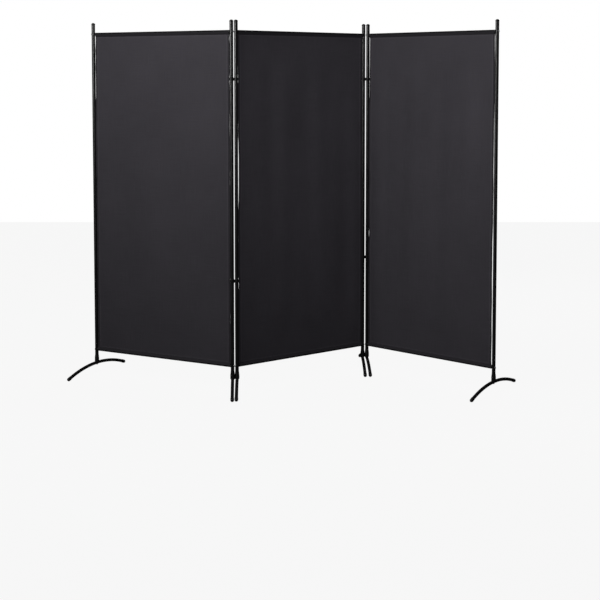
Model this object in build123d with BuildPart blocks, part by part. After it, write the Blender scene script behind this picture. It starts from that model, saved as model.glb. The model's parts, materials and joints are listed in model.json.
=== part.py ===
from build123d import *
import os
from math import asin, cos, degrees, radians, sin

# Three-leaf folding room divider screen: cloth leaves on tube frames, six arched feet.
# Z is up and the floor is z = 0. X runs along the screen's overall width.

# ---- driving dimensions, millimetres and degrees -------------------------------------
opened_width = 2600.0
overall_height = 1800.0
post_diameter = 18.0
post_wall = 0.8
post_gap = 5.0

leaf_angle = {"left": -31.0, "middle": 41.0, "right": -46.0}
link_angle = {"left": 22.0, "right": 9.0}

rail_diameter = 13.0
rail_wall = 0.8
top_rail_height = 1743.0
bottom_rail_height = 119.0
rail_inset = 0.02

cloth_side_gap = 4.0
cloth_thickness = 0.8
sleeve_clearance = 0.05
sleeve_wall = 0.85

foot_length = 534.0
foot_tube_diameter = 16.0
foot_tube_wall = 1.0
foot_crown_height = 49.5
foot_tip_height = 8.2
tip_cap_radius = 8.8
tip_cap_grip = 17.0
tip_cap_rim = 0.5
foot_angle = {
    "left_outer": -25.0,
    "left_inner": 2.25,
    "middle_left": 1.75,
    "middle_right": 0.6,
    "right_inner": 1.4,
    "right_outer": -31.0,
}

stem_top = 104.0
stem_neck_radius = 9.0
stem_neck_foot = 98.0
stem_base_radius = 11.2
stem_base_top = 70.0
stem_base_foot = 54.0
stem_spigot_length = 3.0
running_clearance = 0.05

foot_bolt_radius = 3.0
foot_bolt_top = 115.0
foot_bolt_head_radius = 5.0
foot_bolt_head_height = 2.4
foot_bolt_key_across = 4.0
foot_bolt_key_depth = 1.4
foot_plug_gap = 0.5
foot_plug_length = 8.5
post_end_lift = 0.3

rail_bolt_radius = 2.5
rail_bolt_head_radius = 4.4
rail_bolt_head_height = 1.7
rail_bolt_key_across = 3.0
rail_bolt_key_depth = 1.0
rail_bolt_length = 38.0
rail_nut_start = 12.0
rail_nut_length = 15.0
bolt_hole_clearance = 0.1
seat_clearance = 0.1

post_cap_radius = 9.7
post_cap_dome = 6.0
post_cap_skirt = 3.0
post_cap_plug_length = 12.0
press_allowance = 0.03

clip_height = 15.0
clip_wall = 2.4
clip_web_width = 8.0
clip_edge = 0.8
clip_heights = {"left": (1515.0, 536.0), "right": (1515.0, 584.0)}

# ---- derived dimensions --------------------------------------------------------------
post_radius = post_diameter / 2
post_bore_radius = post_radius - post_wall
rail_radius = rail_diameter / 2
rail_bore_radius = rail_radius - rail_wall
leaf_pitch = (opened_width - 2 * post_gap) / 3 - post_diameter
pair_pitch = post_diameter + post_gap
post_foot = stem_top + post_end_lift
stem_spigot_top = stem_top + stem_spigot_length
post_top = overall_height - post_cap_dome - post_cap_skirt
foot_tube_radius = foot_tube_diameter / 2
foot_half_chord = foot_length / 2 - tip_cap_radius
foot_rise = foot_crown_height - foot_tip_height
foot_arc_radius = (foot_half_chord**2 + foot_rise**2) / (2 * foot_rise)
foot_tip_slope = degrees(asin(foot_half_chord / foot_arc_radius))


# ---- plan layout ---------------------------------------------------------------------
def along(angle):
    """Unit vector in plan, anticlockwise from +X."""
    return Vector(cos(radians(angle)), sin(radians(angle)), 0)


def forward(angle):
    """Unit vector in plan, anticlockwise from -Y, the way a foot points."""
    return Vector(sin(radians(angle)), -cos(radians(angle)), 0)


middle_half = along(leaf_angle["middle"]) * (leaf_pitch / 2)
post_plan = {"middle_left": middle_half * -1, "middle_right": middle_half}
post_plan["left_inner"] = post_plan["middle_left"] - along(link_angle["left"]) * pair_pitch
post_plan["left_outer"] = post_plan["left_inner"] - along(leaf_angle["left"]) * leaf_pitch
post_plan["right_inner"] = post_plan["middle_right"] + along(link_angle["right"]) * pair_pitch
post_plan["right_outer"] = post_plan["right_inner"] + along(leaf_angle["right"]) * leaf_pitch

# The origin is the middle of the screen's footprint, which ends at the foot tips.
tips_plan = [
    post_plan[name] + forward(foot_angle[name]) * (side * foot_half_chord)
    for name in foot_angle
    for side in (-1, 1)
]
tips_x = sorted(tip.X for tip in tips_plan)
tips_y = sorted(tip.Y for tip in tips_plan)
footprint_middle = Vector((tips_x[0] + tips_x[-1]) / 2, (tips_y[0] + tips_y[-1]) / 2, 0)
post_plan = {name: place - footprint_middle for name, place in post_plan.items()}

leaf_posts = {
    "left": ("left_outer", "left_inner"),
    "middle": ("middle_left", "middle_right"),
    "right": ("right_inner", "right_outer"),
}
link_posts = {
    "left": ("left_inner", "middle_left"),
    "right": ("middle_right", "right_inner"),
}


def level(place, height, direction):
    """Horizontal plane at a place in plan, with its X along a direction."""
    return Plane(origin=place + Vector(0, 0, height), x_dir=direction, z_dir=(0, 0, 1))


def across(place, height, direction):
    """Upright plane facing along a horizontal direction."""
    return Plane(origin=place + Vector(0, 0, height), x_dir=(0, 0, 1), z_dir=direction)


def upright(place, direction):
    """Upright plane that holds a horizontal direction as its X, with +Z as its Y."""
    normal = Vector(direction.Y, -direction.X, 0)
    return Plane(origin=place, x_dir=direction, z_dir=normal)


def save(part, name):
    part.label = name
    export_step(part, f"parts/{name}.step")


def make_bolt(radius, length, head_radius, head_height, key_across, key_depth):
    """Hexagon-key bolt: its shank goes up from the origin and its low head hangs below."""
    with BuildPart() as bolt:
        with BuildSketch(Plane.XY):
            Circle(radius)
        extrude(amount=length)
        with BuildSketch(Plane.XY):
            Circle(head_radius)
        extrude(amount=-head_height)
        underside = bolt.faces().sort_by(Axis.Z)[0]
        fillet(underside.edges(), radius=head_height / 2)
        with BuildSketch(Plane.XY.offset(-head_height)):
            RegularPolygon(key_across / 2, 6, major_radius=False)
        extrude(amount=key_depth, mode=Mode.SUBTRACT)
    return bolt.part


# ---- leaves --------------------------------------------------------------------------
def make_post(place, direction):
    """Round tube post, cross-drilled for the two rail bolts."""
    with BuildPart() as post:
        with BuildSketch(level(place, post_foot, direction)):
            Circle(post_radius)
            Circle(post_bore_radius, mode=Mode.SUBTRACT)
        extrude(amount=post_top - post_foot)
        for height in (top_rail_height, bottom_rail_height):
            with BuildSketch(across(place, height, direction)):
                Circle(rail_bolt_radius + bolt_hole_clearance)
            extrude(amount=2 * post_radius, both=True, mode=Mode.SUBTRACT)
    return post.part


def make_rail(start, direction, height):
    """Cross tube whose ends are coped to the round posts."""
    with BuildPart() as rail:
        with BuildSketch(across(start, height, direction)):
            Circle(rail_radius)
            Circle(rail_bore_radius, mode=Mode.SUBTRACT)
        extrude(amount=leaf_pitch)
        for place in (start, start + direction * leaf_pitch):
            with BuildSketch(level(place, height - rail_diameter, direction)):
                Circle(post_radius + rail_inset)
            extrude(amount=2 * rail_diameter, mode=Mode.SUBTRACT)
    return rail.part


def rail_ends(start, direction):
    """Each rail end: its post's place, its height and the way into the rail."""
    for height in (top_rail_height, bottom_rail_height):
        yield start, height, direction
        yield start + direction * leaf_pitch, height, direction * -1


def make_rail_nuts(start, direction):
    """Threaded slugs pressed into the four rail ends."""
    with BuildPart() as nuts:
        for place, height, inward in rail_ends(start, direction):
            with BuildSketch(across(place + inward * rail_nut_start, height, inward)):
                Circle(rail_bore_radius - press_allowance)
                Circle(rail_bolt_radius + bolt_hole_clearance, mode=Mode.SUBTRACT)
            extrude(amount=rail_nut_length)
    return nuts.part


def make_rail_bolts(start, direction):
    """Low-headed bolts from the posts' outer sides into the rail ends."""
    bolt = make_bolt(
        rail_bolt_radius,
        rail_bolt_length,
        rail_bolt_head_radius,
        rail_bolt_head_height,
        rail_bolt_key_across,
        rail_bolt_key_depth,
    )
    with BuildPart() as bolts:
        for place, height, inward in rail_ends(start, direction):
            seat = place - inward * (post_radius + seat_clearance)
            with Locations(across(seat, height, inward)):
                add(bolt)
    return bolts.part


def make_post_caps(places):
    """Domed stoppers in the tops of a leaf's two posts."""
    plug_radius = post_bore_radius - press_allowance
    plug_foot = post_top - post_cap_plug_length
    skirt_top = post_top + post_cap_skirt
    dome_radius = (post_cap_radius**2 + post_cap_dome**2) / (2 * post_cap_dome)
    with BuildPart() as caps:
        for place in places:
            with BuildSketch(upright(place, Vector(1, 0, 0))):
                with BuildLine():
                    Polyline(
                        (0, overall_height),
                        (0, plug_foot),
                        (plug_radius, plug_foot),
                        (plug_radius, post_top),
                        (post_cap_radius, post_top),
                        (post_cap_radius, skirt_top),
                    )
                    RadiusArc((post_cap_radius, skirt_top), (0, overall_height), -dome_radius)
                make_face()
            revolve(axis=Axis(tuple(place), (0, 0, 1)))
    return caps.part


def make_foot_plugs(places):
    """Threaded slugs pressed into the bottoms of a leaf's two posts, under the rail bolts."""
    plug_foot = stem_spigot_top + foot_plug_gap
    with BuildPart() as plugs:
        for place in places:
            with BuildSketch(Plane(origin=place + Vector(0, 0, plug_foot))):
                Circle(post_bore_radius - press_allowance)
                Circle(foot_bolt_radius + running_clearance, mode=Mode.SUBTRACT)
            extrude(amount=foot_plug_length)
    return plugs.part


def make_cloth(start, direction):
    """Cloth leaf: one flat ply between two sleeves that hold the rails."""
    inset = post_radius + cloth_side_gap
    edge = start + direction * inset
    cloth_width = leaf_pitch - 2 * inset
    sleeve_bore = rail_radius + sleeve_clearance
    with BuildPart() as cloth:
        for height in (top_rail_height, bottom_rail_height):
            with BuildSketch(across(edge, height, direction)):
                Circle(sleeve_bore + sleeve_wall)
                Circle(sleeve_bore, mode=Mode.SUBTRACT)
            extrude(amount=cloth_width)
        ply_bottom = bottom_rail_height + sleeve_bore + sleeve_wall / 2
        ply_top = top_rail_height - sleeve_bore - sleeve_wall / 2
        with BuildSketch(across(edge, (ply_top + ply_bottom) / 2, direction)):
            Rectangle(ply_top - ply_bottom, cloth_thickness)
        extrude(amount=cloth_width)
    return cloth.part


# ---- feet ----------------------------------------------------------------------------
def foot_rod(place, direction, radius):
    """Solid round bar along the foot's arched centre line."""
    with BuildPart() as rod:
        with BuildLine(upright(place, direction)) as spine:
            ThreePointArc(
                (-foot_half_chord, foot_tip_height),
                (0, foot_crown_height),
                (foot_half_chord, foot_tip_height),
            )
        with BuildSketch(Plane(origin=spine.line @ 0, z_dir=spine.line % 0)):
            Circle(radius)
        sweep()
    return rod.part


def make_arch(place, direction):
    """Arched foot tube, drilled upright through its crown."""
    outside = foot_rod(place, direction, foot_tube_radius)
    inside = foot_rod(place, direction, foot_tube_radius - foot_tube_wall)
    with BuildPart() as arch:
        add(outside)
        add(inside, mode=Mode.SUBTRACT)
        with BuildSketch(level(place, foot_crown_height, direction)):
            Circle(foot_bolt_radius + bolt_hole_clearance)
        extrude(amount=foot_tube_diameter, both=True, mode=Mode.SUBTRACT)
    return arch.part


def make_stem(place, direction):
    """Flared stem that saddles the arch, with a spigot on which the post turns."""
    bolt_room = foot_bolt_radius + bolt_hole_clearance
    spigot_radius = post_bore_radius - running_clearance
    saddle = foot_rod(place, direction, foot_tube_radius + rail_inset)
    with BuildPart() as stem:
        with BuildSketch(upright(place, direction)):
            with BuildLine():
                Polyline(
                    (stem_neck_radius, stem_neck_foot),
                    (stem_neck_radius, stem_top),
                    (spigot_radius, stem_top),
                    (spigot_radius, stem_spigot_top),
                    (bolt_room, stem_spigot_top),
                    (bolt_room, stem_base_foot),
                    (stem_base_radius, stem_base_foot),
                    (stem_base_radius, stem_base_top),
                )
                Spline(
                    (stem_base_radius, stem_base_top),
                    (stem_neck_radius, stem_neck_foot),
                    tangents=[(0, 1), (0, 1)],
                )
            make_face()
        revolve(axis=Axis(tuple(place), (0, 0, 1)))
        add(saddle, mode=Mode.SUBTRACT)
    return stem.part


def make_foot_bolt(place, direction):
    """Bolt from under the crown, up through the stem into the post's slug."""
    head_top = foot_crown_height - foot_tube_radius - seat_clearance
    bolt = make_bolt(
        foot_bolt_radius,
        foot_bolt_top - head_top,
        foot_bolt_head_radius,
        foot_bolt_head_height,
        foot_bolt_key_across,
        foot_bolt_key_depth,
    )
    with BuildPart() as placed:
        with Locations(level(place, head_top, direction)):
            add(bolt)
    return placed.part


def make_tip_caps(place, direction):
    """Round-ended caps on the two tube ends, flattened where they stand."""
    tube_room = foot_rod(place, direction, foot_tube_radius + running_clearance)
    with BuildPart() as caps:
        for outward in (direction, direction * -1):
            tip = place + outward * foot_half_chord + Vector(0, 0, foot_tip_height)
            slope = radians(foot_tip_slope)
            axis_dir = outward * cos(slope) - Vector(0, 0, sin(slope))
            side = Vector(outward.Y, -outward.X, 0)
            with BuildSketch(Plane(origin=tip, x_dir=axis_dir, z_dir=side)):
                with BuildLine():
                    Polyline(
                        (tip_cap_radius, 0),
                        (-tip_cap_grip, 0),
                        (-tip_cap_grip, tip_cap_radius - tip_cap_rim),
                        (tip_cap_rim - tip_cap_grip, tip_cap_radius),
                        (0, tip_cap_radius),
                    )
                    CenterArc((0, 0), tip_cap_radius, 0, 90)
                make_face()
            revolve(axis=Axis(tuple(tip), tuple(axis_dir)))
        add(tube_room, mode=Mode.SUBTRACT)
        split(bisect_by=Plane.XY, keep=Keep.TOP)
    return caps.part


# ---- hinge clips ---------------------------------------------------------------------
def make_clip(place, partner, height):
    """Closed figure-of-eight clip round two neighbouring posts."""
    reach = partner - place
    bore = post_radius + running_clearance
    base = level(place, height - clip_height / 2, reach.normalized())
    with BuildPart() as clip:
        with BuildSketch(base):
            with Locations((0, 0), (pair_pitch, 0)):
                Circle(bore + clip_wall)
            with Locations((pair_pitch / 2, 0)):
                Rectangle(pair_pitch - 2 * bore, clip_web_width)
            with Locations((0, 0), (pair_pitch, 0)):
                Circle(bore, mode=Mode.SUBTRACT)
        extrude(amount=clip_height)
        outer = clip.edges().filter_by(GeomType.CIRCLE).filter_by(
            lambda edge: edge.radius > bore + clip_wall / 2
        )
        chamfer(outer, length=clip_edge)
    return clip.part


# ---- build and write -----------------------------------------------------------------
os.makedirs("parts", exist_ok=True)

for leaf, posts in leaf_posts.items():
    start = post_plan[posts[0]]
    direction = along(leaf_angle[leaf])
    for name in posts:
        save(make_post(post_plan[name], direction), f"{name}_post")
    save(make_rail(start, direction, top_rail_height), f"{leaf}_top_rail")
    save(make_rail(start, direction, bottom_rail_height), f"{leaf}_bottom_rail")
    save(make_rail_nuts(start, direction), f"{leaf}_rail_nuts")
    save(make_rail_bolts(start, direction), f"{leaf}_rail_bolts")
    save(make_post_caps([post_plan[name] for name in posts]), f"{leaf}_post_caps")
    save(make_foot_plugs([post_plan[name] for name in posts]), f"{leaf}_foot_plugs")
    save(make_cloth(start, direction), f"{leaf}_cloth")

for name, angle in foot_angle.items():
    place = post_plan[name]
    save(make_arch(place, forward(angle)), f"{name}_foot_arch")
    save(make_stem(place, forward(angle)), f"{name}_foot_stem")
    save(make_foot_bolt(place, forward(angle)), f"{name}_foot_bolt")
    save(make_tip_caps(place, forward(angle)), f"{name}_foot_tip_caps")

for link, (first, second) in link_posts.items():
    for word, height in zip(("upper", "lower"), clip_heights[link]):
        clip = make_clip(post_plan[first], post_plan[second], height)
        save(clip, f"{link}_{word}_clip")
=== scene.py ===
import json
import math
import random

import bpy
import numpy as np
from mathutils import Matrix, Vector


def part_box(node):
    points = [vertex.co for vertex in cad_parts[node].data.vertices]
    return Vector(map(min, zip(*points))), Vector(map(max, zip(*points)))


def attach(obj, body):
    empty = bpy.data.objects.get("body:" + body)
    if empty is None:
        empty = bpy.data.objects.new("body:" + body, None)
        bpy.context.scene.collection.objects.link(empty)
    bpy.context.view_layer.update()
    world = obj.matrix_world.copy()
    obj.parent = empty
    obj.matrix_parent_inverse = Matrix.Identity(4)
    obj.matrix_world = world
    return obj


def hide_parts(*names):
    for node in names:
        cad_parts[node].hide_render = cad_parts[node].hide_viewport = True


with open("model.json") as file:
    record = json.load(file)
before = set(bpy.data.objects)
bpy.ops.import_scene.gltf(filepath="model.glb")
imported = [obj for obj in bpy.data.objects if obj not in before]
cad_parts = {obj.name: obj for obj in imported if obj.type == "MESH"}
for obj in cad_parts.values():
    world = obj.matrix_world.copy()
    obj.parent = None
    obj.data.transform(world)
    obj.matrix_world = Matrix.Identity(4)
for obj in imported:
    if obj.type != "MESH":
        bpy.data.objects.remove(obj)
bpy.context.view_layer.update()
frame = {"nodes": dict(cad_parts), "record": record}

# Everything is in metres and degrees, in the row frame: the screen stands on z = 0, and the
# camera looks along +Y. Each leaf is built in its own frame: u along it, y out of its back.

LEAVES = {
    "left": ("left_outer", "left_inner"),
    "middle": ("middle_left", "middle_right"),
    "right": ("right_inner", "right_outer"),
}
LINKS = {
    "left_inner": "left",
    "middle_left": "left",
    "middle_right": "right",
    "right_inner": "right",
}

# ---- cloth ---------------------------------------------------------------------------
PLY = 0.0004              # thickness of the cloth
EDGE_GAP = 0.0020         # from a post's surface to the cloth's side edge
CLIP_ROOM = 0.0013        # how much further the edge keeps off a hinge clip
CLIP_REACH = 0.025        # how far above and below a clip's middle it does so
SLEEVE_RADIUS = 0.00715   # middle of the ply, round a rail
SEAM_DROP = 0.0148        # from a rail's axis to its sleeve's seam
TAIL = 0.008              # hem allowance that hangs past the seam, behind the cloth
HEM = 0.011               # width of the side hems
HEM_STITCH = 0.0085       # stitch line of a side hem, from the edge
SEAM_STITCH = 0.003       # stitch line of a sleeve, past its seam
COLUMN_STEP = 0.0064
ROW_STEP = 0.0085
ARC_STEPS = 22            # round the roll of a sleeve
ROLL_START = 0.05         # height on a rail, in radii, from which its sleeve counts as rolled and gets the darker painted shade
SLEEVE_ROWS = (0.12, 0.3, 0.55, 0.8)     # between a seam and its rail, as shares of the way
SLEEVE_ROOT = 0.04        # the row next to the seam on the front
SEAM_ROWS = (0, 0.0012, 0.0024, SEAM_STITCH, 0.0036, 0.005, 0.0075, 0.011, 0.016)
HEM_COLUMNS = (
    0.0006, 0.0028, 0.0055, 0.0072, HEM_STITCH, 0.0098, 0.0108, 0.0120, 0.0134, 0.0155, 0.0200,
)
# From a hem's raw edge behind the cloth to the fold: distance from the fold, and ply.
FOLD_COLUMNS = ((HEM, 1), (HEM * 0.55, 1), (0.0006, 1), (0.0001, 0.8), (0, 0.5), (0.0001, 0.2))
STITCH_LENGTH = 0.0031
STITCH_PITCH = 0.0042
STITCH_RADIUS = 0.00024
STITCH_SIDES = 5
STITCH_SHOULDERS = (0.16, 0.84)          # where a stitch has its full thickness
STITCH_DEPTHS = {-1: -0.5, 1: 1.6}       # of the front and back stitches, in plies
STITCH_START = 0.012      # from a seam to the first stitch of a side hem

# How far a side edge draws in from its post, in mm at heights in m, from the bottom up. Below 0
# it comes nearer to the post.
EDGE_PULLS = {
    ("left", 0): [
        (0.66, 0), (0.71, 1.2), (0.76, 0), (0.93, 0), (1.00, 0.8), (1.05, 0), (1.36, 0),
        (1.43, 3.0), (1.49, 1.7), (1.55, 2.5), (1.61, 2.8), (1.66, 1.5), (1.71, 4.0),
        (1.735, 4.0), (1.75, 1.5),
    ],
    ("left", 1): [
        (0.11, 0.0), (0.17, -0.2), (0.24, 0), (1.36, 0), (1.48, 0.4), (1.56, -0.2), (1.67, -0.3),
        (1.72, 1.0),
    ],
    ("middle", 0): [
        (0.34, 0), (0.39, -1.8), (0.48, -1.8), (0.512, 0), (0.56, 0), (0.62, -0.8), (0.78, -0.4),
        (0.88, 0.3), (0.95, 1.7), (1.02, 2.9), (1.07, 4.0), (1.13, 4.5), (1.19, 2.3), (1.25, -0.6),
        (1.32, 0),
    ],
    ("middle", 1): [(0.40, 0), (0.70, 0.2), (0.95, 0)],
    ("right", 0): [
        (0.65, 0), (0.71, 5.0), (0.77, 0), (0.90, 0), (1.00, 1.5), (1.06, 0), (1.36, 0.5),
        (1.43, 4.9), (1.49, 4.7), (1.55, 4.2), (1.61, 3.9), (1.66, 4.0), (1.72, 3.8), (1.75, 1.0),
    ],
    ("right", 1): [
        (0.15, 4.2), (0.23, 3.4), (0.30, 3.2), (0.36, 1.8), (0.41, 2.0), (0.47, 2.9), (0.53, 3.2),
        (0.60, 4.0), (0.65, 4.2), (0.71, 2.8), (0.77, 2.4), (0.83, 2.2), (0.89, 1.6), (0.95, 1.7),
        (1.07, 2.4), (1.13, 2.6), (1.19, 3.5), (1.25, 3.1), (1.31, 2.8), (1.37, 2.2), (1.46, 0.8),
        (1.61, 1.7), (1.72, 2.4),
    ],
}
MM = 0.001
PULL_REACH = 0.10         # how far into the cloth a pull fades
BELLY_GROWTH = 0.5        # the growths say how far from the seams a shape is whole
FOLD_SIZE = 0.0045        # height of a soft upright fold, as a share of its length
FOLD_GROWTH = 0.35
CURL_SIZE = 0.0005        # how far each of three waves curls a side edge
CURL_REACH = 0.028
CURL_GROWTH = 0.16
RUFFLE_SIZE = 0.00022     # fine waves along the side hems
RUFFLE_PITCH = 0.046
RUFFLE_REACH = 0.011
RUFFLE_GROWTH = 0.05
BUNCH_SIZE = 2.1          # how far the ruffles bunch together, in radians
BUNCH_PITCH = 0.31
PUCKER_SIZE = 0.00017     # fine waves across the seams
PUCKER_REACH = 0.040
PUCKER_GROWTH = 0.010
HEM_RISE = 0.00022        # how far a folded hem lifts the face over it
HEM_SLOPE = 0.0016        # width of the slope down from it
HEM_SLOPE_END = 0.0012    # how far past the hem that slope ends
STITCH_DENT = 0.00030     # how deep a hem's stitch line sinks
STITCH_DENT_WIDTH = 0.0011
RELIEF_GROWTH = 0.004     # of the hem's rise and dent, as for the growths above
STACK = 1.1               # from one ply's middle to the next, in plies
HEM_STACK = 2.2           # the extra height of a sleeve's back ply over a folded hem
HEM_STACK_SLOPE = 0.003   # width of the slope down from it
HEM_STACK_END = 0.004     # how far past the hem that slope ends

# ---- painted shade on doubled and rolled cloth, painted highlights on its ridges -----
ROLL_SHADE = 1.85             # how much painted shade the cloth gets where it rolls round a rail
HEM_SHADE = 0.75        # and on a side hem. A flat sleeve has 1, the bare face 0
HEM_SHADE_END = 0.001   # how far past the hem it fades out
SEAM_HIGHLIGHT = 0.6          # how strong the painted highlight is beside a seam, where a side hem has 1
SEAM_RIDGE_PLACE, SEAM_RIDGE_WIDTH = 0.0022, 0.0038
HEM_RIDGE_PLACE, HEM_RIDGE_WIDTH = 0.0028, 0.0030


def middle_of(node):
    low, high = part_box(node)
    return (low + high) / 2


def leaf_frame(leaf):
    """The leaf's matrix and pitch: u from its first post to its second, y to the back, z up."""
    first, second = (middle_of(f"{post}_post") for post in LEAVES[leaf])
    along = Vector((second.x - first.x, second.y - first.y, 0))
    pitch = along.length
    along.normalize()
    back = Vector((-along.y, along.x, 0))
    matrix = Matrix((along, back, Vector((0, 0, 1)))).transposed().to_4x4()
    matrix.translation = Vector((first.x, first.y, 0))
    return matrix, pitch


def smooth(t):
    t = np.clip(t, 0, 1)
    return t * t * (3 - 2 * t)


def bump(z, low, high):
    """One smooth hump, 0 outside low to high and 1 in its middle."""
    t = np.clip((z - low) / (high - low), 0, 1)
    return np.sin(math.pi * t) ** 2


def eased(z, points):
    """Depth at a height, eased from each point to the next and level past the last ones."""
    heights, depths = (np.array(part) for part in zip(*points))
    below = np.clip(np.searchsorted(heights, z) - 1, 0, len(heights) - 2)
    t = smooth((z - heights[below]) / (heights[below + 1] - heights[below]))
    return depths[below] + (depths[below + 1] - depths[below]) * t


class Leaf:
    """Shape of one hung leaf: how each point of the flat cloth moves."""

    def __init__(self, leaf):
        self.matrix, self.pitch = leaf_frame(leaf)
        low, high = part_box(f"{LEAVES[leaf][0]}_post")
        post_radius = (high.x - low.x) / 2
        self.edge = post_radius + EDGE_GAP
        self.width = self.pitch - 2 * self.edge
        self.top = middle_of(f"{leaf}_top_rail").z
        self.bottom = middle_of(f"{leaf}_bottom_rail").z
        self.top_seam = self.top - SEAM_DROP
        self.bottom_seam = self.bottom + SEAM_DROP
        self.pulls = [EDGE_PULLS[leaf, side] for side in (0, 1)]
        self.clips = [
            [middle_of(f"{LINKS[post]}_{word}_clip").z for word in ("upper", "lower")]
            if post in LINKS else []
            for post in LEAVES[leaf]
        ]
        draw = random.Random(f"{leaf} leaf")
        self.folds = [
            (draw.uniform(0.09, 0.34), draw.uniform(-0.35, 0.35), draw.uniform(0, math.tau))
            for _ in range(6)
        ]
        self.curls = [
            [(draw.uniform(0.16, 0.42), draw.uniform(0, math.tau)) for _ in range(3)]
            for _ in range(2)
        ]
        self.puckers = [(draw.uniform(0.021, 0.034), draw.uniform(0, math.tau)) for _ in range(3)]
        self.belly = draw.choice((-1, 1)) * draw.uniform(0.002, 0.0035)

    def calm(self, z, reach):
        """0 at the seams and past them, 1 more than reach away from both."""
        return smooth((self.top_seam - z) / reach) * smooth((z - self.bottom_seam) / reach)

    def shift(self, u, z):
        """Move along the leaf: the free edges draw in, more near the edge."""
        pull = np.zeros(np.broadcast(u, z).shape)
        for side, sign in ((0, 1), (1, -1)):
            away = u if side == 0 else self.width - u
            depth = eased(z, self.pulls[side]) * MM
            for clip in self.clips[side]:
                depth = depth + CLIP_ROOM * bump(z, clip - CLIP_REACH, clip + CLIP_REACH)
            pull = pull + sign * depth * np.exp(-np.maximum(away, 0) / PULL_REACH)
        return pull

    def swell(self, u, z):
        """Move out of the front: folds, curling edges, and puckers beside the stitches."""
        bulge = np.sin(math.pi * np.clip(u / self.width, 0, 1))
        out = self.belly * bulge * self.calm(z, BELLY_GROWTH)
        for length, lean, phase in self.folds:
            wave = np.sin(math.tau * (u + lean * z * length) / length + phase)
            out = out + FOLD_SIZE * length * wave * self.calm(z, FOLD_GROWTH)
        for side in (0, 1):
            away = np.maximum(u if side == 0 else self.width - u, 0)
            curl = sum(np.sin(math.tau * z / length + phase) for length, phase in self.curls[side])
            near_edge = np.exp(-((away / CURL_REACH) ** 2))
            out = out + CURL_SIZE * curl * near_edge * self.calm(z, CURL_GROWTH)
            bunch = BUNCH_SIZE * np.sin(math.tau * z / BUNCH_PITCH)
            ruffle = np.sin(math.tau * z / RUFFLE_PITCH + bunch)
            near_hem = np.exp(-np.abs(away - HEM_STITCH) / RUFFLE_REACH)
            out = out + RUFFLE_SIZE * ruffle * near_hem * self.calm(z, RUFFLE_GROWTH)
        for seam in (self.top_seam, self.bottom_seam):
            off = np.abs(z - seam)
            wave = sum(np.sin(math.tau * u / length + phase) for length, phase in self.puckers)
            grown = smooth(off / PUCKER_GROWTH)
            out = out + PUCKER_SIZE * wave * grown * np.exp(-off / PUCKER_REACH)
        return out

    def relief(self, u):
        """Height of the folded hem under the face, with the dent of its stitch line."""
        out = 0
        for away in (u, self.width - u):
            out = out + HEM_RISE * smooth((HEM + HEM_SLOPE_END - away) / HEM_SLOPE)
            out = out - STITCH_DENT * np.exp(-(((away - HEM_STITCH) / STITCH_DENT_WIDTH) ** 2))
        return out

    def place(self, u, y, z):
        """Points of the row frame, from the flat cloth's u, its depth y and its height z."""
        depth = y - self.swell(u, z) - self.relief(u) * self.calm(z, RELIEF_GROWTH)
        along = self.edge + u + self.shift(u, z)
        local = np.stack(np.broadcast_arrays(along, depth, z), -1)
        turn = np.array(self.matrix.to_3x3())
        return local @ turn.T + np.array(self.matrix.translation)


def spread(whole, near, step):
    """Places from 0 to whole: the near ones at both ends, and even steps between them."""
    count = round((whole - 2 * near[-1]) / step)
    middle = np.linspace(near[-1], whole - near[-1], count + 1)[1:-1]
    return [*near, *middle, *(whole - off for off in reversed(near))]


def section(leaf):
    """The cloth's section as rows of (y, z, behind, sleeve): up the back tail, over the top
    rail, down the face and round the bottom rail. behind is 1 on the plies behind the face.
    sleeve is 1 on the top sleeve, -1 on the bottom one, and twice that where it rolls."""
    lean = math.asin(SLEEVE_RADIUS / SEAM_DROP)
    arc = [(math.pi + 2 * lean) * step / ARC_STEPS - lean for step in range(ARC_STEPS + 1)]
    touch_y, touch_z = SLEEVE_RADIUS * math.cos(lean), SLEEVE_RADIUS * math.sin(lean)
    sleeve = [(0, -SEAM_DROP - drop, 1, 1) for drop in (TAIL, SEAM_STITCH, 0)]
    rise = SEAM_DROP - touch_z
    sleeve += [(touch_y * t, -SEAM_DROP + rise * t, 1 - t, 1) for t in SLEEVE_ROWS]
    for turn in arc:
        y, z = math.cos(turn), math.sin(turn)
        sleeve.append((SLEEVE_RADIUS * y, SLEEVE_RADIUS * z, 0, 2 if z > ROLL_START else 1))
    front = (*reversed(SLEEVE_ROWS), SLEEVE_ROOT)
    sleeve += [(-touch_y * t, -SEAM_DROP + rise * t, 0, 1) for t in front]
    rows = [(y, leaf.top + z, behind, roll) for y, z, behind, roll in sleeve]
    drop = leaf.top_seam - leaf.bottom_seam
    face = spread(drop, SEAM_ROWS, ROW_STEP)
    rows += [(0, leaf.top_seam - off, 0, 0) for off in face]
    rows += [(y, leaf.bottom - z, behind, -roll) for y, z, behind, roll in reversed(sleeve)]
    return rows


def columns(leaf):
    """The cloth's columns as (u, ply): the side hems are folded back as ply 1."""
    face = [(u, 0) for u in spread(leaf.width, HEM_COLUMNS, COLUMN_STEP)]
    far_hem = [(leaf.width - u, ply) for u, ply in reversed(FOLD_COLUMNS)]
    return [*FOLD_COLUMNS, *face, *far_hem]


def make_mesh(name, points, faces, material):
    mesh = bpy.data.meshes.new(name)
    mesh.from_pydata([tuple(p) for p in points], [], faces)
    mesh.polygons.foreach_set("use_smooth", [True] * len(mesh.polygons))
    mesh.materials.append(material)
    piece = bpy.data.objects.new(name, mesh)
    bpy.context.scene.collection.objects.link(piece)
    return piece


def paint(piece, name, values):
    """A number on each point, for the material."""
    layer = piece.data.attributes.new(name, "FLOAT", "POINT")
    layer.data.foreach_set("value", values.astype(np.float32).ravel())


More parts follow.
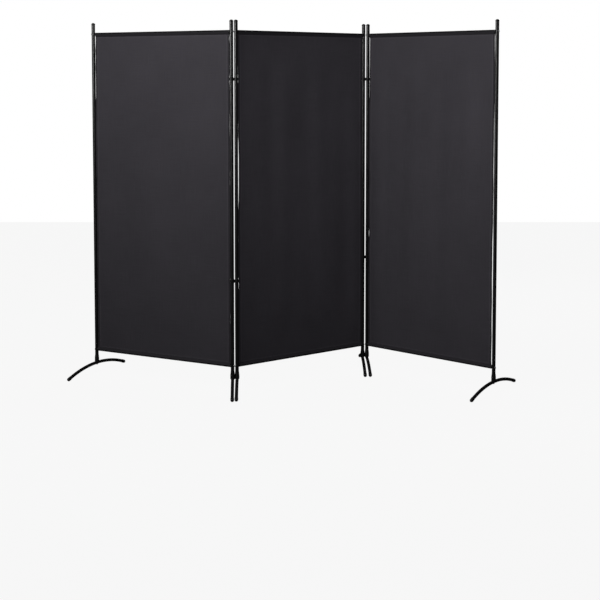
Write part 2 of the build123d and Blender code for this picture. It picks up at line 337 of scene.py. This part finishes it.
def lay_threads(piece, girth, run):
    """A map of the flat cloth in metres, for the weave: across it and down it."""
    layer = piece.data.uv_layers.new(name="thread")
    at = np.array([loop.vertex_index for loop in piece.data.loops])
    across_and_down = np.stack([girth[at % len(girth)], run[at // len(girth)]], -1)
    layer.data.foreach_set("uv", across_and_down.astype(np.float32).ravel())


def make_cloth(name, leaf, material):
    """One continuous sheet with its two rail sleeves and folded side hems."""
    rows, cols = section(leaf), columns(leaf)
    y, z, behind, sleeve = (np.array(part, float)[:, None] for part in zip(*rows))
    u, ply = (np.array(part, float)[None, :] for part in zip(*cols))
    step_y, step_z = np.gradient(y[:, 0]), np.gradient(z[:, 0])
    length = np.hypot(step_y, step_z)
    out_y, out_z = (step_z / length)[:, None], (-step_y / length)[:, None]
    away = np.minimum(u, leaf.width - u)
    hemmed = smooth((HEM + HEM_STACK_END - away) / HEM_STACK_SLOPE)
    stack = behind * PLY * (STACK + HEM_STACK * hemmed)
    inward = -STACK * PLY * ply
    points = leaf.place(u, y + stack + inward * out_y, z + inward * out_z)
    tall, wide = len(rows), len(cols)
    faces = [
        (r * wide + c, r * wide + c + 1, (r + 1) * wide + c + 1, (r + 1) * wide + c)
        for r in range(tall - 1)
        for c in range(wide - 1)
    ]
    piece = make_mesh(name, points.reshape(-1, 3), faces, material)
    run = np.concatenate([[0], np.cumsum(np.hypot(np.diff(y[:, 0]), np.diff(z[:, 0])))])
    girth = np.concatenate([[0], np.cumsum(np.hypot(np.diff(u[0]), np.diff(ply[0]) * PLY))])
    lay_threads(piece, girth, run)
    # Painted shade: darker where the cloth is doubled, and darker still where it rolls round a
    # rail.
    painted_shade = np.interp(sleeve, (-2, -1, 0, 1, 2), (ROLL_SHADE, 1, 0, 1, ROLL_SHADE))
    hem_shade = HEM_SHADE * smooth((HEM + HEM_SHADE_END - away) / HEM_SHADE_END)
    # Painted highlight: a lighter stripe just past each seam and each side hem.
    past_seam = np.minimum(leaf.top_seam - z, z - leaf.bottom_seam)
    highlight_mask = SEAM_HIGHLIGHT * np.exp(-(((past_seam - SEAM_RIDGE_PLACE) / SEAM_RIDGE_WIDTH) ** 2))
    past_hem = away - HEM - HEM_RIDGE_PLACE
    highlight_mask = np.maximum(highlight_mask, np.exp(-((past_hem / HEM_RIDGE_WIDTH) ** 2)))
    paint(piece, "doubled_shade", np.maximum(painted_shade, hem_shade))
    paint(piece, "highlight_mask", highlight_mask * (sleeve == 0))
    thick = piece.modifiers.new("ply", "SOLIDIFY")
    thick.thickness = PLY
    thick.offset = 0
    return piece, (girth[-1], run[-1])


def stitch_mesh(ends):
    """Points and faces of little spindles of thread, one for each pair of end points."""
    points, faces = [], []
    for start, end, out in ends:
        axis = (end - start).normalized()
        side = axis.cross(out).normalized()
        first = len(points)
        points.append(start - out * STITCH_RADIUS)
        for t in STITCH_SHOULDERS:
            centre = start.lerp(end, t)
            for k in range(STITCH_SIDES):
                turn = math.tau * k / STITCH_SIDES
                spoke = side * math.cos(turn) + out * math.sin(turn)
                points.append(centre + spoke * STITCH_RADIUS)
        points.append(end - out * STITCH_RADIUS)
        last = len(points) - 1
        for k in range(STITCH_SIDES):
            a, b = first + 1 + k, first + 1 + (k + 1) % STITCH_SIDES
            c, d = a + STITCH_SIDES, b + STITCH_SIDES
            faces += [(first, b, a), (a, b, d, c), (c, d, last)]
    return points, faces


def make_stitching(name, leaf, material):
    """Lock stitches on both faces: two sleeve seams and two side hems."""
    back = (leaf.matrix.to_3x3() @ Vector((0, 1, 0))).normalized()
    ends = []
    for face, plies in STITCH_DEPTHS.items():
        behind = plies * PLY
        for z in (leaf.top_seam - SEAM_STITCH, leaf.bottom_seam + SEAM_STITCH):
            count = int((leaf.width - 2 * HEM) / STITCH_PITCH)
            for k in range(count):
                u = HEM + k * STITCH_PITCH
                pair = leaf.place(np.array([u, u + STITCH_LENGTH]), behind, np.array([z, z]))
                ends.append((Vector(pair[0]), Vector(pair[1]), back * face))
        for u in (HEM_STITCH, leaf.width - HEM_STITCH):
            low, high = leaf.bottom_seam + STITCH_START, leaf.top_seam - STITCH_START
            for k in range(int((high - low) / STITCH_PITCH)):
                z = low + k * STITCH_PITCH
                pair = leaf.place(np.array([u, u]), behind, np.array([z, z + STITCH_LENGTH]))
                ends.append((Vector(pair[0]), Vector(pair[1]), back * face))
    points, faces = stitch_mesh(ends)
    return make_mesh(name, points, faces, material)


# ---- materials -----------------------------------------------------------------------
class Nodes:
    """Short names for the nodes of one material."""

    def __init__(self, name):
        self.material = bpy.data.materials.new(name)
        self.material.use_nodes = True
        self.tree = self.material.node_tree
        self.surface = self.tree.nodes["Principled BSDF"]

    def add(self, kind, **settings):
        node = self.tree.nodes.new(kind)
        for key, value in settings.items():
            setattr(node, key, value)
        return node

    def link(self, source, target):
        self.tree.links.new(source, target)

    def feed(self, target, value):
        if isinstance(value, (int, float)):
            target.default_value = value
        else:
            self.link(value, target)

    def math(self, operation, *values):
        node = self.add("ShaderNodeMath", operation=operation)
        for socket, value in zip(node.inputs, values):
            self.feed(socket, value)
        return node.outputs[0]

    def painted(self, name):
        return self.add("ShaderNodeAttribute", attribute_name=name).outputs["Fac"]

    def stretched(self, source, scale):
        node = self.add("ShaderNodeMapping")
        node.inputs["Scale"].default_value = scale
        self.link(source, node.inputs["Vector"])
        return node.outputs[0]

    def noise(self, source, scale, detail=2.0, roughness=0.5):
        node = self.add("ShaderNodeTexNoise")
        self.link(source, node.inputs["Vector"])
        node.inputs["Scale"].default_value = scale
        node.inputs["Detail"].default_value = detail
        node.inputs["Roughness"].default_value = roughness
        return node.outputs["Fac"]

    def ranged(self, value, low, high, out_low, out_high):
        node = self.add("ShaderNodeMapRange")
        self.link(value, node.inputs["Value"])
        sockets = ("From Min", "From Max", "To Min", "To Max")
        for socket, number in zip(sockets, (low, high, out_low, out_high)):
            node.inputs[socket].default_value = number
        return node.outputs[0]

    def ramp(self, value, stops):
        """A colour ramp through (position, colour) stops."""
        node = self.add("ShaderNodeValToRGB")
        self.link(value, node.inputs["Fac"])
        for stop in stops[2:]:
            node.color_ramp.elements.new(stop[0])
        for element, (position, colour) in zip(node.color_ramp.elements, stops):
            element.position = position
            element.color = (*colour, 1)
        return node.outputs["Color"]

    def scaled(self, colour, factor):
        """A colour times a number that varies over the surface."""
        node = self.add("ShaderNodeVectorMath", operation="SCALE")
        self.link(colour, node.inputs[0])
        self.link(factor, node.inputs["Scale"])
        return node.outputs[0]

    def bumped(self, height, strength, distance, under=None):
        node = self.add("ShaderNodeBump")
        node.inputs["Strength"].default_value = strength
        node.inputs["Distance"].default_value = distance
        self.link(height, node.inputs["Height"])
        if under is not None:
            self.link(under, node.inputs["Normal"])
        return node.outputs["Normal"]


def grey(level, tint=(1.0, 1.0, 1.0)):
    return tuple(level * part for part in tint)


CLOTH_TINT = (1.03, 0.955, 1.125)
CLOTH_LIGHT = 0.054
CLOTH_DARK = 0.026
THREAD_PITCH = 0.00085
RIDGE_HIGHLIGHT = 1.34             # how much lighter the painted highlight makes a ridge


def cloth_material():
    """Plain-woven polyester: over-and-under threads, uneven slubs and faint clouding.
    It has painted shade where it is doubled, darker still where it rolls round a rail, and painted
    highlights along its ridges."""
    n = Nodes("woven_polyester")
    thread = n.add("ShaderNodeUVMap", uv_map="thread").outputs["UV"]
    parts = n.add("ShaderNodeSeparateXYZ")
    n.link(thread, parts.inputs[0])
    waves = []
    for axis in ("X", "Y"):
        turns = n.math("MULTIPLY", parts.outputs[axis], math.pi / THREAD_PITCH)
        waves.append(n.math("SINE", turns))
    weave = n.math("MULTIPLY", waves[0], waves[1])
    warp = n.noise(n.stretched(thread, (700, 9, 1)), 1.0, detail=3)
    weft = n.noise(n.stretched(thread, (9, 700, 1)), 1.0, detail=3)
    slub = n.math("ADD", warp, weft)
    clouds = n.noise(thread, 3.2, detail=4, roughness=0.6)
    tone = n.math("MULTIPLY", weave, 0.045)
    tone = n.math("ADD", tone, n.ranged(slub, 0.6, 1.4, 0.26, 0.74))
    tone = n.math("ADD", tone, n.ranged(clouds, 0.3, 0.7, -0.10, 0.10))
    colours = [(0.0, grey(CLOTH_DARK, CLOTH_TINT)), (1.0, grey(CLOTH_LIGHT, CLOTH_TINT))]
    # Painted shade where the cloth is doubled or rolled, times the painted highlight on its
    # ridges.
    painted_shade = n.ranged(n.painted("doubled_shade"), 0, 2, 1.0, 0.0)
    # Painted highlight along the ridges beside seams and hems.
    painted_highlight = n.ranged(n.painted("highlight_mask"), 0, 1, 1.0, RIDGE_HIGHLIGHT)
    painted_light = n.math("MULTIPLY", painted_shade, painted_highlight)
    n.link(n.scaled(n.ramp(tone, colours), painted_light), n.surface.inputs["Base Color"])
    n.link(n.ranged(weave, -1, 1, 0.90, 0.76), n.surface.inputs["Roughness"])
    relief = n.bumped(slub, 0.25, 0.0002)
    n.link(n.bumped(weave, 0.35, 0.00012, relief), n.surface.inputs["Normal"])
    n.surface.inputs["Sheen Weight"].default_value = 0.05
    n.surface.inputs["Sheen Roughness"].default_value = 0.45
    n.surface.inputs["Specular IOR Level"].default_value = 0.15
    return n.material


def thread_material():
    """Polyester sewing thread: twisted, a little shinier than the cloth."""
    n = Nodes("sewing_thread")
    where = n.add("ShaderNodeTexCoord").outputs["Object"]
    twist = n.noise(n.stretched(where, (1, 1, 1.6)), 2600, detail=1)
    n.link(n.ramp(twist, [(0.3, grey(0.012)), (0.7, grey(0.040))]), n.surface.inputs["Base Color"])
    n.link(n.ranged(twist, 0.3, 0.7, 0.45, 0.65), n.surface.inputs["Roughness"])
    n.link(n.bumped(twist, 0.4, 0.0001), n.surface.inputs["Normal"])
    return n.material


def tube_material():
    """Gloss black powder coat: orange peel, handling haze and fine rubs."""
    n = Nodes("powder_coat")
    where = n.add("ShaderNodeTexCoord").outputs["Object"]
    haze = n.noise(where, 7, detail=5, roughness=0.62)
    rubs = n.noise(n.stretched(where, (1, 1, 0.06)), 420, detail=3)
    peel = n.noise(where, 420, detail=1)
    worn = n.math("MULTIPLY", n.ranged(rubs, 0.60, 0.74, 0, 1), n.ranged(haze, 0.5, 0.66, 0, 1))
    n.link(n.ramp(worn, [(0.0, grey(0.0035)), (1.0, grey(0.014))]), n.surface.inputs["Base Color"])
    gloss = n.math("ADD", n.ranged(haze, 0.3, 0.7, 0.30, 0.40), n.math("MULTIPLY", worn, 0.12))
    n.link(gloss, n.surface.inputs["Roughness"])
    n.link(n.bumped(peel, 0.05, 0.00008), n.surface.inputs["Normal"])
    n.surface.inputs["Specular IOR Level"].default_value = 0.8
    return n.material


def plastic_material():
    """Satin moulded plastic: fine spark-eroded grain and slightly dulled patches."""
    n = Nodes("moulded_plastic")
    where = n.add("ShaderNodeTexCoord").outputs["Object"]
    grain = n.noise(where, 1900, detail=2, roughness=0.7)
    flow = n.noise(where, 38, detail=4)
    colours = [(0.3, grey(0.0040)), (0.75, grey(0.0085))]
    n.link(n.ramp(flow, colours), n.surface.inputs["Base Color"])
    n.link(n.ranged(flow, 0.3, 0.7, 0.38, 0.50), n.surface.inputs["Roughness"])
    n.link(n.bumped(grain, 0.18, 0.00012), n.surface.inputs["Normal"])
    n.surface.inputs["Specular IOR Level"].default_value = 0.4
    return n.material


def zinc_material():
    """Bright zinc plate: spangled blue-white metal with turning marks."""
    n = Nodes("zinc_plate")
    where = n.add("ShaderNodeTexCoord").outputs["Object"]
    spangle = n.noise(where, 300, detail=3)
    marks = n.noise(n.stretched(where, (1, 1, 9)), 900, detail=2)
    colours = [(0.25, (0.46, 0.47, 0.50)), (0.75, (0.66, 0.66, 0.67))]
    n.link(n.ramp(spangle, colours), n.surface.inputs["Base Color"])
    n.link(n.ranged(marks, 0.3, 0.7, 0.24, 0.42), n.surface.inputs["Roughness"])
    n.link(n.bumped(marks, 0.15, 0.0001), n.surface.inputs["Normal"])
    n.surface.inputs["Metallic"].default_value = 1.0
    return n.material


# ---- camera, light and floor ---------------------------------------------------------
# Places are from the middle leaf's centre, at floor level. A radiance is that of the lit face.
CAMERA_PLACE = (-0.0111, -7.131, 1.5146)
CAMERA_PITCH = 4.4624
CAMERA_LENS = 85.2
CAMERA_SHIFT = -0.1833
KEY = dict(place=(-1.88, -1.93, 3.20), aim=(1.0, 0, 2.4), width=1.0, height=3.5, radiance=9.5)
FILL = dict(place=(1.27, -1.50, 1.66), aim=(0.1, 0, 1.3), width=1.4, height=1.6, radiance=2.8)
BACK = dict(place=(1.20, 3.30, 2.60), aim=(0.1, 0, 1.2), width=2.6, height=1.8, radiance=8.0)
ROOM_LIGHT = 0.012
ROOM_COLOUR = (0.98, 0.99, 1, 1)
FLOOR_BASE = 0.01
FLOOR_GLOW = 0.925
FLOOR_REACH = 7.9          # from the middle to each side of the floor
FLOOR_SIDES = 8


def make_camera(centre):
    data = bpy.data.cameras.new("camera")
    data.lens = CAMERA_LENS
    data.shift_y = CAMERA_SHIFT
    camera = bpy.data.objects.new("camera", data)
    bpy.context.scene.collection.objects.link(camera)
    camera.location = centre + Vector(CAMERA_PLACE)
    camera.rotation_euler = (math.radians(90 - CAMERA_PITCH), 0, 0)
    bpy.context.scene.camera = camera


def make_softbox(name, centre, place, aim, width, height, radiance, glossy=True):
    """Rectangular soft light whose face has the given radiance."""
    data = bpy.data.lights.new(name, "AREA")
    data.shape = "RECTANGLE"
    data.size = width
    data.size_y = height
    data.energy = radiance * math.pi * width * height
    light = bpy.data.objects.new(name, data)
    bpy.context.scene.collection.objects.link(light)
    light.location = centre + Vector(place)
    light.rotation_euler = (Vector(aim) - Vector(place)).to_track_quat("-Z", "Y").to_euler()
    light.visible_camera = False
    light.visible_glossy = glossy


def make_world():
    """White behind the object, and a dim grey room for everything else."""
    world = bpy.data.worlds.new("studio")
    bpy.context.scene.world = world
    world.use_nodes = True
    tree = world.node_tree
    seen = tree.nodes["Background"]
    seen.inputs["Color"].default_value = (1, 1, 1, 1)
    room = tree.nodes.new("ShaderNodeBackground")
    room.inputs["Color"].default_value = ROOM_COLOUR
    room.inputs["Strength"].default_value = ROOM_LIGHT
    path = tree.nodes.new("ShaderNodeLightPath")
    mix = tree.nodes.new("ShaderNodeMixShader")
    tree.links.new(path.outputs["Is Camera Ray"], mix.inputs[0])
    tree.links.new(room.outputs[0], mix.inputs[1])
    tree.links.new(seen.outputs[0], mix.inputs[2])
    tree.links.new(mix.outputs[0], tree.nodes["World Output"].inputs["Surface"])


def make_floor():
    """Pale floor with straight sides, which end well behind the screen."""
    n = Nodes("pale_floor")
    n.surface.inputs["Base Color"].default_value = (*grey(FLOOR_BASE), 1)
    n.surface.inputs["Roughness"].default_value = 0.9
    n.surface.inputs["Specular IOR Level"].default_value = 0.0
    n.surface.inputs["Emission Color"].default_value = (1, 1, 1, 1)
    n.surface.inputs["Emission Strength"].default_value = FLOOR_GLOW
    corner = FLOOR_REACH / math.cos(math.pi / FLOOR_SIDES)
    turns = [math.tau * (k + 0.5) / FLOOR_SIDES for k in range(FLOOR_SIDES)]
    rim = [(corner * math.cos(turn), corner * math.sin(turn), 0) for turn in turns]
    floor = make_mesh("floor", rim, [tuple(range(FLOOR_SIDES))], n.material)
    floor.visible_diffuse = False
    floor.visible_glossy = False


middle_leaf = (middle_of("middle_left_post") + middle_of("middle_right_post")) / 2
middle_leaf.z = 0
make_camera(middle_leaf)
make_world()
make_softbox("key", middle_leaf, **KEY)
make_softbox("fill", middle_leaf, **FILL, glossy=False)
make_softbox("back", middle_leaf, **BACK, glossy=False)
make_floor()

# ---- finishes of the frame -----------------------------------------------------------
finishes = {
    "black_tube": tube_material(),
    "black_plastic": plastic_material(),
    "zinc": zinc_material(),
}
for row in frame["record"]["subparts"]:
    finish = finishes.get(row["material_slot"])
    if finish is not None:
        mesh = frame["nodes"][row["node"]].data
        mesh.materials.clear()
        mesh.materials.append(finish)

# ---- cloth leaves --------------------------------------------------------------------
woven = cloth_material()
sewing = thread_material()
for name in LEAVES:
    leaf = Leaf(name)
    cloth, flat = make_cloth(f"{name}_fabric", leaf, woven)
    stitching = make_stitching(f"{name}_stitching", leaf, sewing)
    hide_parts(f"{name}_cloth")
    for piece in (cloth, stitching):
        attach(piece, f"{name}_leaf")

bpy.context.scene.view_settings.view_transform = "Standard"
